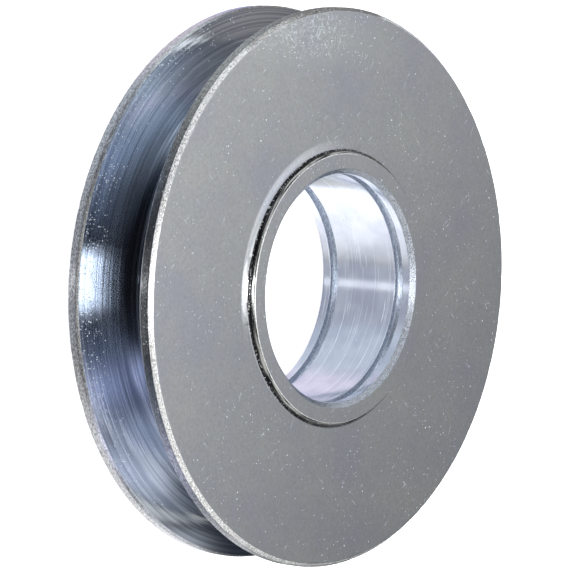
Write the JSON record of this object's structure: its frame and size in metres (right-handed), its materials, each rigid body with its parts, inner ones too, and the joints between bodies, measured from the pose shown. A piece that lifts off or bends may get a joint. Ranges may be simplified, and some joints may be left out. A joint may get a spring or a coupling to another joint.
{
  "type": "idler pulley",
  "caption": "Zinc-plated steel idler pulley wheel with a V belt groove, low bosses and a through bore with retaining-ring grooves that holds a ball bearing.",
  "frame": {"origin": "centre of the wheel: on the bore's axis, midway between the two boss ends", "axes": "+Z along the bore's axis, out of the face that the picture shows; the wheel lies on its lower boss; X and Y are any two directions across the axis, because the wheel is round"},
  "size_m": [0.09, 0.09, 0.0196],
  "materials": {
    "zinc_plated_steel": "turned and zinc plated, satin with fine scratches"
  },
  "bodies": {
    "root": {"pulley_wheel": "zinc_plated_steel"}
  },
  "joints": []
}
